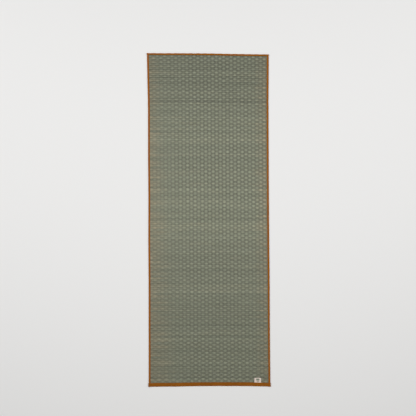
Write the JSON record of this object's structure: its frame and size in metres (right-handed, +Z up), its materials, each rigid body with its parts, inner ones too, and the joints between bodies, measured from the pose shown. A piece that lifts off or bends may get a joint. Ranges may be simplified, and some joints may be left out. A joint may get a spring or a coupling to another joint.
{
  "type": "tatami mat",
  "caption": "Flat woven rush floor mat with a folded cloth binding sewn round its four edges and a small cloth label at one corner.",
  "frame": {"origin": "middle of the mat, on the floor it lies on", "axes": "+Y along the mat's length towards the end away from the label, +X to the right seen from above, +Z up, out of the upper face"},
  "size_m": [0.6702, 1.8054, 0.0052],
  "materials": {
    "woven_rush": "dry woven rush, soft sheen",
    "binding_tape": "matte cotton tape",
    "label_cloth": "matte woven cloth"
  },
  "bodies": {
    "root": {"rush_panel": "woven_rush", "binding_left": "binding_tape", "binding_right": "binding_tape", "binding_top": "binding_tape", "binding_bottom": "binding_tape", "label": "label_cloth"}
  },
  "joints": []
}
